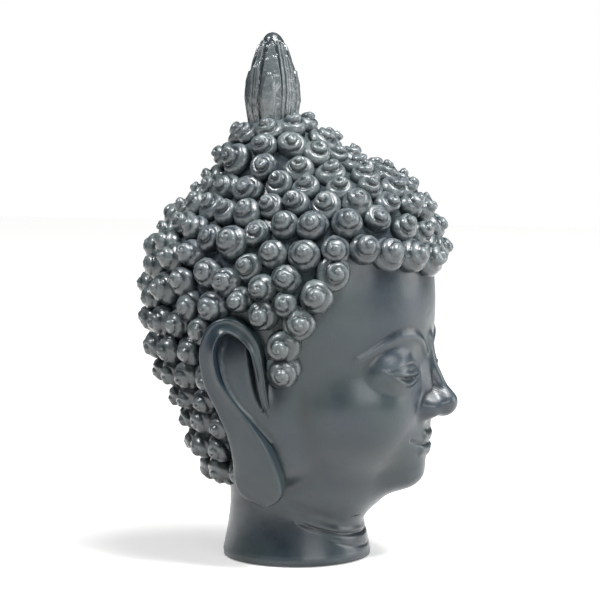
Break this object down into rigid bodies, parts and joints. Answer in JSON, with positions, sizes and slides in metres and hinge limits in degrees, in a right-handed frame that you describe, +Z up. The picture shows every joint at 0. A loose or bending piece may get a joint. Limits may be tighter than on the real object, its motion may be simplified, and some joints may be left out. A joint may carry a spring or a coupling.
{
  "type": "buddha head sculpture",
  "caption": "Buddha head bust with a calm face, snail-shell curls, long pendant ears, a low crown dome and a lotus-bud finial, standing on the flat cut of its neck.",
  "frame": {"origin": "centre of the flat underside of the neck", "axes": "+Z up along the neck to the finial, -Y the way the face looks, +X the statue's left"},
  "size_m": [0.1546, 0.183, 0.3],
  "materials": {
    "satin_grey_paint": "satin slate-grey paint on cast resin"
  },
  "bodies": {
    "root": {"buddha_head": "satin_grey_paint"}
  },
  "joints": []
}
